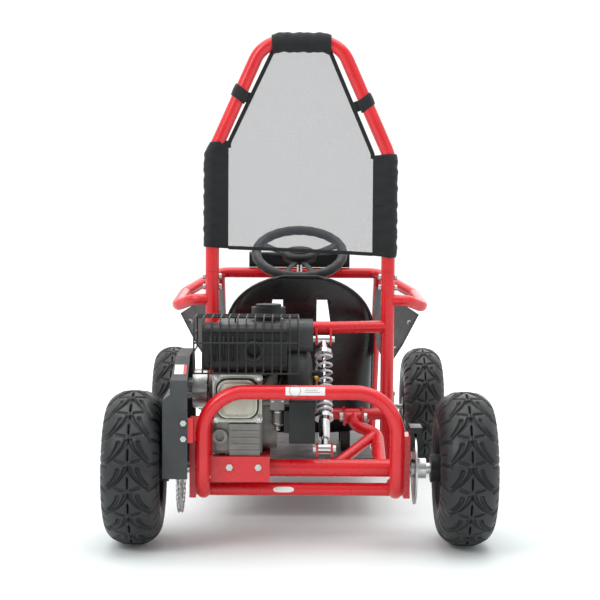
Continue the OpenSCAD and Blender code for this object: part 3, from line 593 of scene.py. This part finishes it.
def hook_straps():
    """Each strap wraps the slanted leg and comes down to the net's edge."""
    parts = []
    lean = Vector((-0.4095, 0, 0.9123))
    out = Vector((0.9123, 0, 0.4095))
    for side, z in ((-1, 1.044), (1, 1.024)):
        centre = Vector((post_line(z), POST_Y, z))
        rows, cols = 10, 40
        verts = []
        for i in range(rows):
            along = (i / (rows - 1) - 0.5) * 0.030
            for j in range(cols):
                a = 2 * math.pi * j / cols
                r = 0.0182 + 0.0012 * math.sin(math.pi * i / (rows - 1)) + 0.0004 * math.sin(5 * a)
                p = centre + lean * (along + 0.004 * math.cos(a)) + out * (r * math.cos(a))
                p += Vector((0, r * math.sin(a), 0))
                verts.append((side * p.x, p.y, p.z))
        parts.append((verts, grid_faces(rows, cols, False, True)))
        inner = centre - out * 0.017
        edge = Vector((net_edge(side, z - 0.012), POST_Y, z - 0.012))
        path = [inner.lerp(edge, t) for t in (0, 0.5, 1)]
        parts.append(tube([(side * p.x, p.y - 0.001, p.z) for p in path], 0.012, 14, flat=0.12, up=(0, 1, 0)))
    straps = piece("hook_straps", *joined(*parts), "frame", "webbing", ("net_straps",))
    shell = straps.modifiers.new("thickness", "SOLIDIFY")
    shell.thickness = 0.0010
    shell.offset = 1
    return straps


net_cloth()
net_binding()
side_sleeve(-1, 0.672, 0.927, "net_sleeve_left")
side_sleeve(1, 0.648, 0.900, "net_sleeve_right")
top_sleeve()
hook_straps()

# ---- Seat shell ----
SEAT_LINE = [
    (0.092, 0.236), (0.060, 0.219), (-0.020, 0.203), (-0.100, 0.190), (-0.145, 0.194),
    (-0.176, 0.226), (-0.190, 0.285), (-0.203, 0.360), (-0.217, 0.450), (-0.230, 0.530), (-0.240, 0.597),
]


def seat_shell():
    line = curve_points([(0, y, z) for y, z in SEAT_LINE], 7)
    length = [0.0]
    for p, q in zip(line, line[1:]):
        length.append(length[-1] + (q - p).length)
    total = length[-1]
    cols = 49
    verts = []
    for i, p in enumerate(line):
        way = (line[min(i + 1, len(line) - 1)] - line[max(i - 1, 0)]).normalized()
        normal = Vector((0, -way.z, way.y))
        if normal.z < 0 or (abs(normal.z) < 0.5 and normal.y < 0):
            normal = -normal
        t = length[i] / total
        top = np.clip((p.z - 0.440) / 0.160, 0, 1)
        half = 0.184 * (1 - top ** 2.4) ** 0.5 if p.y < -0.15 else 0.184 - 0.012 * smoothstep(0.25, 0.0, t)
        half = max(half, 0.012)
        depth = 0.020 + 0.045 * math.exp(-(((t - 0.50) / 0.20) ** 2)) - 0.012 * smoothstep(0.8, 1.0, t)
        for j in range(cols):
            u = 2 * j / (cols - 1) - 1
            curl = abs(u) ** 3.2
            x = half * math.sin(u * math.pi / 2 * 0.98) / math.sin(math.pi / 2 * 0.98)
            lift = depth * curl * (half / 0.184)
            q = p + normal * lift
            verts.append((x, q.y, q.z))
    shell = piece("seat_shell", verts, grid_faces(len(line), cols), "frame", "gloss_black", ("seat",))
    thick = shell.modifiers.new("thickness", "SOLIDIFY")
    thick.thickness = 0.0045
    thick.offset = -1
    # Tapered harness slots
    outline = [(0.042, 0.484), (0.076, 0.484), (0.068, 0.539), (0.042, 0.539)]
    cut_parts = []
    for side in (-1, 1):
        ring = [(side * x, y, z) for y in (-0.30, -0.10) for x, z in outline]
        sides = [(k, 4 + k, 4 + (k + 1) % 4, (k + 1) % 4) for k in range(4)]
        cut_parts.append((ring, [(0, 1, 2, 3), (7, 6, 5, 4)] + sides))
    cutter = piece("seat_cutter", *joined(*cut_parts), "frame", "gloss_black")
    slots = shell.modifiers.new("slots", "BOOLEAN")
    slots.object = cutter
    slots.operation = "DIFFERENCE"
    slots.solver = "EXACT"
    bpy.context.view_layer.objects.active = shell
    bpy.ops.object.modifier_apply(modifier="thickness")
    bpy.ops.object.modifier_apply(modifier="slots")
    bpy.data.objects.remove(cutter, do_unlink=True)
    # Rolled rim round the edge
    rows = len(line)
    edge = [0 + i * cols for i in range(rows)] + [(rows - 1) * cols + j for j in range(1, cols)]
    edge += [i * cols + cols - 1 for i in range(rows - 2, -1, -1)] + [j for j in range(cols - 2, 0, -1)]
    rim = tube([verts[k] for k in edge], 0.0042, 8, closed=True)
    piece("seat_rim", *rim, "frame", "gloss_black")
    feet = []
    for side in (-1, 1):
        for y in (-0.12, 0.04):
            lo = (side * 0.12 - 0.012, y - 0.02, 0.1455)
            hi = (side * 0.12 + 0.012, y + 0.02, 0.197)
            feet.append(solid_box(lo, hi))
    feet = piece("seat_feet", *joined(*feet), "frame", "gloss_black", smooth=False)
    soften(feet, 0.003)


seat_shell()

# ---- Steering wheel ----
COLUMN_TILT = math.radians(30)


def steering_wheel():
    rim_r, grip = 0.1145, 0.0125
    ring = []
    radii = []
    for i in range(96):
        a = 2 * math.pi * i / 96
        ring.append((rim_r * math.cos(a), rim_r * math.sin(a), 0))
        radii.append(grip + 0.0005 * math.cos(24 * a))
    parts = [tube(ring, radii, 20, closed=True)]
    for turn in (22, 158, 248, 292):
        a = math.radians(turn)
        wide = 0.015 if turn < 200 else 0.011
        path = [
            (r * math.cos(a), r * math.sin(a), -0.010 + 0.010 * (max(r - 0.02, 0) / 0.09) ** 1.5)
            for r in np.linspace(0.018, 0.108, 12)
        ]
        radii = [wide * (1 - 0.35 * math.sin(math.pi * t)) for t in np.linspace(0, 1, 12)]
        parts.append(tube(path, radii, 16, flat=0.36))
    hub = []
    profile = [
        (0.002, 0.0075), (0.6, 0.007), (0.85, 0.005), (0.97, 0.001),
        (1.0, -0.006), (0.96, -0.018), (0.6, -0.022), (0.002, -0.0225),
    ]
    for scale, z in profile:
        for k in range(48):
            b = 2 * math.pi * k / 48
            hub.append((0.047 * scale * math.cos(b), 0.031 * scale * math.sin(b), z))
    parts.append((hub, grid_faces(len(profile), 48, False, True)))
    button = []
    for scale, z in [(0.002, 0.0115), (0.7, 0.011), (0.92, 0.0095), (1.0, 0.006)]:
        for k in range(48):
            b = 2 * math.pi * k / 48
            button.append((0.030 * scale * math.cos(b), 0.017 * scale * math.sin(b), z))
    parts.append((button, grid_faces(4, 48, False, True)))
    verts, faces = joined(*parts)
    tilt = Matrix.Translation(WHEEL_AT) @ Matrix.Rotation(COLUMN_TILT, 4, "X")
    verts = [tilt @ Vector(v) for v in verts]
    return piece("steering_grip", verts, faces, "steering", "black_plastic", ("steering_wheel",))


WHEEL_AT = Vector((0, REAR_Y + 0.600, 0.645))
steering_wheel()

# ---- Chain links ----
def chain_links():
    lo, hi = span("axle_sprocket")
    big = (hi[2] - lo[2]) / 2 + 0.0043
    clo, chi = span("clutch_drum")
    shaft_y, shaft_z = (clo[1] + chi[1]) / 2, (clo[2] + chi[2]) / 2
    small = 0.032 + 0.0043
    a = Vector((REAR_Y, AXLE_Z))
    b = Vector((shaft_y, shaft_z))
    way = (b - a).normalized()
    reach = (b - a).length
    lean = math.asin((big - small) / reach)
    base = math.atan2(way.y, way.x)
    path = []

    def arc(centre, r, start, stop, steps):
        for k in range(steps + 1):
            t = start + (stop - start) * k / steps
            path.append(Vector((centre.x + r * math.cos(t), centre.y + r * math.sin(t))))

    quarter = math.pi / 2
    arc(a, big, base + quarter - lean, base + 2 * math.pi - quarter + lean, 160)
    arc(b, small, base - quarter + lean, base + quarter - lean, 60)
    path.append(path[0])
    seg = [0.0]
    for p, q in zip(path, path[1:]):
        seg.append(seg[-1] + (q - p).length)
    count = 2 * round(seg[-1] / 0.0127 / 2)
    pins = []
    for i in range(count):
        d = seg[-1] * i / count
        k = max(j for j in range(len(seg)) if seg[j] <= d)
        k = min(k, len(path) - 2)
        f = (d - seg[k]) / max(seg[k + 1] - seg[k], 1e-9)
        pins.append(path[k].lerp(path[k + 1], f))
    parts = []
    plane = -0.271
    for i, p in enumerate(pins):
        q = pins[(i + 1) % count]
        along = (q - p).normalized()
        up = Vector((-along.y, along.x))
        outer = i % 2
        for side in (-1, 1):
            x = plane + side * (0.0046 if outer else 0.0034)
            ring = []
            for centre, start in ((q, -90), (p, 90)):
                for k in range(6):
                    t = math.radians(start + 36 * k)
                    c = centre + along * (0.0036 * math.cos(t)) + up * (0.0034 * math.sin(t))
                    ring.append(c)
            n = len(ring)
            verts = [(x + dx, c.x, c.y) for dx in (-0.0006, 0.0006) for c in ring]
            faces = [tuple(range(n)), tuple(range(2 * n - 1, n - 1, -1))]
            faces += [(k, (k + 1) % n, n + (k + 1) % n, n + k) for k in range(n)]
            parts.append((verts, faces))
        parts.append(tube([(plane - 0.0052, p.x, p.y), (plane + 0.0052, p.x, p.y)], 0.0016, 8, up=(0, 1, 0)))
    return piece("chain_links", *joined(*parts), "swing_frame", "zinc", ("chain",), smooth=False)


chain_links()

# ---- Engine details ----
def knob(points, axis_from, axis_to, steps=24):
    """A turned shape: points are (distance along the axis, radius)."""
    a, b = Vector(axis_from), Vector(axis_to)
    way = (b - a).normalized()
    ref = Vector((0, 0, 1)) if abs(way.z) < 0.9 else Vector((0, 1, 0))
    side = way.cross(ref).normalized()
    up = side.cross(way)
    verts = []
    for d, r in points:
        for k in range(steps):
            t = 2 * math.pi * k / steps
            verts.append(a + way * d + side * (r * math.cos(t)) + up * (r * math.sin(t)))
    faces = grid_faces(len(points), steps, False, True)
    faces += [tuple(reversed(range(steps))), tuple((len(points) - 1) * steps + k for k in range(steps))]
    return verts, faces


def hex_bolt(at, way, across, high):
    """A flanged hexagon head."""
    at, way = Vector(at), Vector(way).normalized()
    skirt = [(0, across * 0.72), (high * 0.2, across * 0.72), (high * 0.28, across * 0.6)]
    hexagon = [(high * 0.25, across * 0.56), (high * 0.85, across * 0.56), (high, across * 0.46)]
    flange = knob(skirt, at, at + way, 20)
    head = knob(hexagon, at, at + way, 6)
    return joined(flange, head)


BRASS = metal("brass_fitting", (0.62, 0.40, 0.10), 0.3, 500)
COVER = (-0.142, REAR_Y - 0.050, 0.341)


CREAM = metal("cream_cast", (0.56, 0.55, 0.45), 0.42, 700, 0.2, 0.25)


def rounded_loop(x, y, z, half_w, half_h, steps=64, power=0.45):
    """A rounded rectangle that faces the rear."""
    line = []
    for k in range(steps):
        t = 2 * math.pi * k / steps
        c, s = math.cos(t), math.sin(t)
        line.append((x + half_w * np.sign(c) * abs(c) ** power, y, z + half_h * np.sign(s) * abs(s) ** power))
    return line


def valve_cover_details():
    x, y, z = COVER
    # Raised middle with short ribs, a bright rim round it, and a dark gasket line at its foot
    crown = []
    for half_w, half_h, out in (
        (0.038, 0.036, 0.0),
        (0.036, 0.034, 0.0026),
        (0.030, 0.028, 0.0036),
        (0.001, 0.001, 0.0040),
    ):
        crown += rounded_loop(x, y - out, z, half_w, half_h)
    ribs = [(crown, grid_faces(4, 64, False, True))]
    for k in range(7):
        cx = x - 0.024 + 0.008 * k
        rib = [(cx, y - 0.0034, z + 0.012), (cx, y - 0.0052, z + 0.007), (cx, y - 0.0034, z + 0.001)]
        ribs.append(tube(rib, 0.0016, 8))
    piece("cover_crown", *joined(*ribs), "swing_frame", "cover_alloy", look=CREAM)
    rims = [
        tube(rounded_loop(x, y, z, 0.0405, 0.0385), 0.0016, 8, closed=True, up=(0, 1, 0)),
        tube(rounded_loop(x, REAR_Y - 0.0372, z, 0.0500, 0.0480), 0.0022, 8, closed=True, up=(0, 1, 0)),
    ]
    piece("cover_rims", *joined(*rims), "swing_frame", "cover_alloy")
    gasket = tube(rounded_loop(x, REAR_Y - 0.0374, z, 0.0462, 0.0442), 0.0019, 8, closed=True, up=(0, 1, 0))
    piece("cover_gasket", *gasket, "swing_frame", "black_plastic")
    bolts = [
        hex_bolt((x + sx * 0.048, REAR_Y - 0.0465, z + sz * 0.046), (0, -1, 0), 0.010, 0.006)
        for sx in (-1, 1)
        for sz in (-1, 1)
    ]
    piece("cover_bolts", *joined(*bolts), "swing_frame", "zinc", smooth=False)


def carburettor_details():
    x, y = -0.051, REAR_Y - 0.002
    parts = [
        knob([(0, 0.0150), (0.003, 0.0158), (0.006, 0.0150)], (x, y, 0.304), (x, y, 0.400)),
        knob([(0, 0.0112), (0.004, 0.0138), (0.007, 0.0146)], (x, y, 0.2752), (x, y, 0.400)),
        hex_bolt((x, y, 0.2715), (0, 0, -1), 0.010, 0.008),
    ]
    for k in range(2):
        parts.append(hex_bolt((x + 0.012 - 0.024 * k, y - 0.0165, 0.334), (0, -1, 0), 0.006, 0.004))
    piece("carburettor_trim", *joined(*parts), "swing_frame", "zinc")
    tap_y = REAR_Y + 0.050
    stem = [(0, 0.004), (0.012, 0.004), (0.012, 0.0065), (0.020, 0.0065), (0.021, 0.003)]
    tap = [
        knob(stem, (0.036, tap_y, 0.362), (0.036, tap_y, 0.5)),
        knob([(0, 0.0035), (0.014, 0.0035)], (0.030, tap_y, 0.376), (0.060, tap_y, 0.376)),
    ]
    piece("fuel_tap", *joined(*tap), "swing_frame", "cast_alloy", look=BRASS)


def fuel_hose():
    line = curve_points(
        [
            (-0.020, REAR_Y + 0.110, 0.4320),
            (-0.030, REAR_Y + 0.070, 0.405),
            (-0.044, REAR_Y + 0.030, 0.380),
            (-0.052, REAR_Y + 0.004, 0.358),
            (-0.052, REAR_Y + 0.002, 0.345),
        ],
        8,
    )
    piece("fuel_hose", *tube(line, 0.0038, 12), "swing_frame", "black_plastic")


def spark_plug_lead():
    line = curve_points(
        [
            (-0.092, REAR_Y + 0.010, 0.372), (-0.078, REAR_Y + 0.002, 0.384), (-0.066, REAR_Y + 0.020, 0.392),
            (-0.050, REAR_Y + 0.060, 0.396), (-0.040, REAR_Y + 0.090, 0.398),
        ],
        8,
    )
    profile = [(0, 0.006), (0.004, 0.0085), (0.022, 0.0075), (0.026, 0.0045)]
    boot = knob(profile, (-0.094, REAR_Y + 0.012, 0.366), (-0.078, REAR_Y + 0.001, 0.386))
    piece("spark_lead", *joined(tube(line, 0.0036, 12), boot), "swing_frame", "black_plastic")


def muffler_details():
    lo, hi = span("muffler")
    parts = []
    for k in range(7):
        x = lo[0] + 0.018 + 0.010 * k
        ridge = [(x, lo[1] + 0.0065, 0.428), (x, lo[1] + 0.0052, 0.456), (x, lo[1] + 0.0065, 0.484)]
        parts.append(tube(ridge, 0.0022, 8))
    seam = []
    for t in np.linspace(0, 1, 40):
        seam.append((lo[0] + 0.002 + t * (hi[0] - lo[0] - 0.004), lo[1] + 0.0085, 0.4945))
    parts.append(tube(seam, 0.0018, 8))
    collar = rounded_loop(-0.105, lo[1] - 0.0105, 0.452, 0.0205, 0.0205, 48, 1)
    parts.append(tube(collar, 0.0024, 8, closed=True, up=(0, 1, 0)))
    for x in (lo[0] + 0.012, hi[0] - 0.012):
        for z in (0.418, 0.494):
            parts.append(hex_bolt((x, lo[1] + 0.0095, z), (0, -1, 0), 0.009, 0.0055))
    piece("muffler_trim", *joined(*parts), "swing_frame", "black_metal")


def recoil_louvres():
    lo, hi = span("recoil_housing")
    y, z = (lo[1] + hi[1]) / 2, (lo[2] + hi[2]) / 2
    parts = []
    for k in range(36):
        a = 2 * math.pi * k / 36
        c, s = math.cos(a), math.sin(a)
        x = hi[0] - 0.0005
        inner = Vector((x + 0.0008, y + 0.034 * c, z + 0.034 * s))
        outer = Vector((x + 0.0004, y + 0.066 * c, z + 0.066 * s))
        parts.append(tube([inner, inner.lerp(outer, 0.5) + Vector((0.0008, 0, 0)), outer], 0.0019, 6))
    for r in (0.031, 0.070):
        turns = [2 * math.pi * k / 72 for k in range(72)]
        ring = [(hi[0] - 0.0004, y + r * math.cos(t), z + r * math.sin(t)) for t in turns]
        parts.append(tube(ring, 0.0018, 8, closed=True))
    piece("recoil_louvres", *joined(*parts), "swing_frame", "black_plastic")


valve_cover_details()
carburettor_details()
fuel_hose()
spark_plug_lead()
muffler_details()
recoil_louvres()

# ---- Plain labels, with grey bars in place of print ----
def label_look(name, colour):
    look = Look(name, colour, 0.35)
    look.colours(look.noise(30, 3), [(0.3, tuple(c * 0.92 for c in colour)), (0.7, colour)])
    look.bump(look.noise(500, 2), 0.05, 0.0003)
    return look.material


WHITE_FILM = label_look("white_film", (0.80, 0.79, 0.77))
GREY_INK = label_look("grey_ink", (0.40, 0.40, 0.40))
RED_INK = label_look("red_ink", (0.62, 0.05, 0.06))


def wrapped_patch(x0, x1, y, z, radius, angle0, angle1, steps=14):
    """A patch on a tube that lies along X; the angle is 180 at the rear and 90 on top."""
    verts = []
    for i in range(steps + 1):
        a = math.radians(angle0 + (angle1 - angle0) * i / steps)
        for j in range(9):
            verts.append((x0 + (x1 - x0) * j / 8, y + radius * math.cos(a), z + radius * math.sin(a)))
    return verts, grid_faces(steps + 1, 9)


HOOP_Y = REAR_Y - 0.072


def labels():
    hoop = (HOOP_Y, 0.360)
    film = wrapped_patch(-0.033, 0.055, *hoop, TUBE_R + 0.0004, 128, 196)
    piece("hoop_label", *film, "swing_frame", "frame_red", look=WHITE_FILM)
    bars = []
    for k in range(3):
        end = 0.044 - 0.006 * (k % 2)
        bars.append(wrapped_patch(0.010, end, *hoop, TUBE_R + 0.0008, 142 + 14 * k, 146 + 14 * k, 3))
    ring = []
    for i in range(41):
        t = 2 * math.pi * i / 40
        x = -0.012 + 0.0125 * math.cos(t)
        a = math.radians(158) + 0.0125 * math.sin(t) / TUBE_R
        ring.append((x, hoop[0] + (TUBE_R + 0.0008) * math.cos(a), hoop[1] + (TUBE_R + 0.0008) * math.sin(a)))
    bars.append(tube(ring, 0.0007, 6))
    piece("hoop_label_marks", *joined(*bars), "swing_frame", "frame_red", look=GREY_INK)
    low = (REAR_Y, 0.128)
    oval = []
    for i in range(13):
        a = math.radians(150 + 50 * i / 12)
        half = 0.0235 * (1 - (abs(i - 6) / 6.6) ** 3) ** 0.5
        for j in range(9):
            x = -0.0365 + half * (2 * j / 8 - 1)
            oval.append((x, low[0] + 0.0154 * math.cos(a), low[1] + 0.0154 * math.sin(a)))
    piece("tube_label", oval, grid_faces(13, 9), "swing_frame", "frame_red", look=WHITE_FILM)


def panel_bolts():
    """Three bolts on each side panel, with their heads on the face that is seen from behind.

    The three corners are those that the CAD plate's plane runs through.
    """
    top = Vector((0.297, POST_Y + 0.056, 0.504))
    front = Vector((0.212, POST_Y + 0.384, 0.551))
    foot = Vector((0.232, POST_Y + 0.062, 0.372))
    along = (front - top).normalized()
    face = along.cross(foot - top).normalized()
    down = face.cross(along)
    for side in (-1, 1):
        parts = []
        for a, b in ((0.024, 0.030), (0.030, 0.105), (0.200, 0.024)):
            p = top + along * a + down * b + face * 0.004
            parts.append(hex_bolt((side * p.x, p.y, p.z), (side * face.x, face.y, face.z), 0.009, 0.005))
        piece(f"panel_bolts_{side}", *joined(*parts), "frame", "zinc", smooth=False)


def guard_label():
    """A plain white and red label on the chain guard's slope."""
    lo, _ = span("chain_guard")
    y0, slope = lo[1] + 0.0033, 0.5116
    parts = []
    for first, last in ((-0.0275, -0.0075), (-0.0075, -0.0005)):
        verts = []
        for i in range(7):
            y = lo[1] + 0.022 + 0.034 * i / 6
            z = 0.3913 + (y - y0) * slope + 0.0006
            for x in (-0.2535 + first, -0.2535 + last):
                verts.append((x, y, z))
        parts.append((verts, grid_faces(7, 2)))
    piece("guard_label", *parts[0], "swing_frame", "panel_grey", look=WHITE_FILM)
    piece("guard_label_band", *parts[1], "swing_frame", "panel_grey", look=RED_INK)


panel_bolts()
guard_label()
labels()

# ---- Finish on the carried-over CAD nodes ----
SLOTS = {p["node"]: p["material_slot"] for p in frame["record"]["subparts"]}
for name, obj in nodes.items():
    obj.data.materials.clear()
    obj.data.materials.append(LOOKS[SLOTS[name]])

# ---- Floor ----
def studio_floor():
    """White paper that takes the kart's shadow, and glows far from it so that no horizon shows."""
    bpy.ops.mesh.primitive_plane_add(size=14, location=(0, 0, -0.0005))
    floor = bpy.context.object
    floor.name = "floor"
    look = Look("floor_paper", (0.74, 0.79, 0.79), 0.7, Emission_Color=(1, 1, 1, 1))
    away = look.nodes.new("ShaderNodeVectorMath")
    away.operation = "LENGTH"
    look.link(look.coords, away.inputs[0])
    glow = look.nodes.new("ShaderNodeMapRange")
    glow.interpolation_type = "SMOOTHSTEP"
    for socket, value in (("From Min", 1.0), ("From Max", 3.5), ("To Min", 0.02), ("To Max", 0.55)):
        glow.inputs[socket].default_value = value
    look.link(away.outputs["Value"], glow.inputs["Value"])
    look.link(glow.outputs["Result"], look.shader.inputs["Emission Strength"])
    look.bump(look.noise(60, 2), 0.05, 0.001)
    floor.data.materials.append(look.material)


studio_floor()
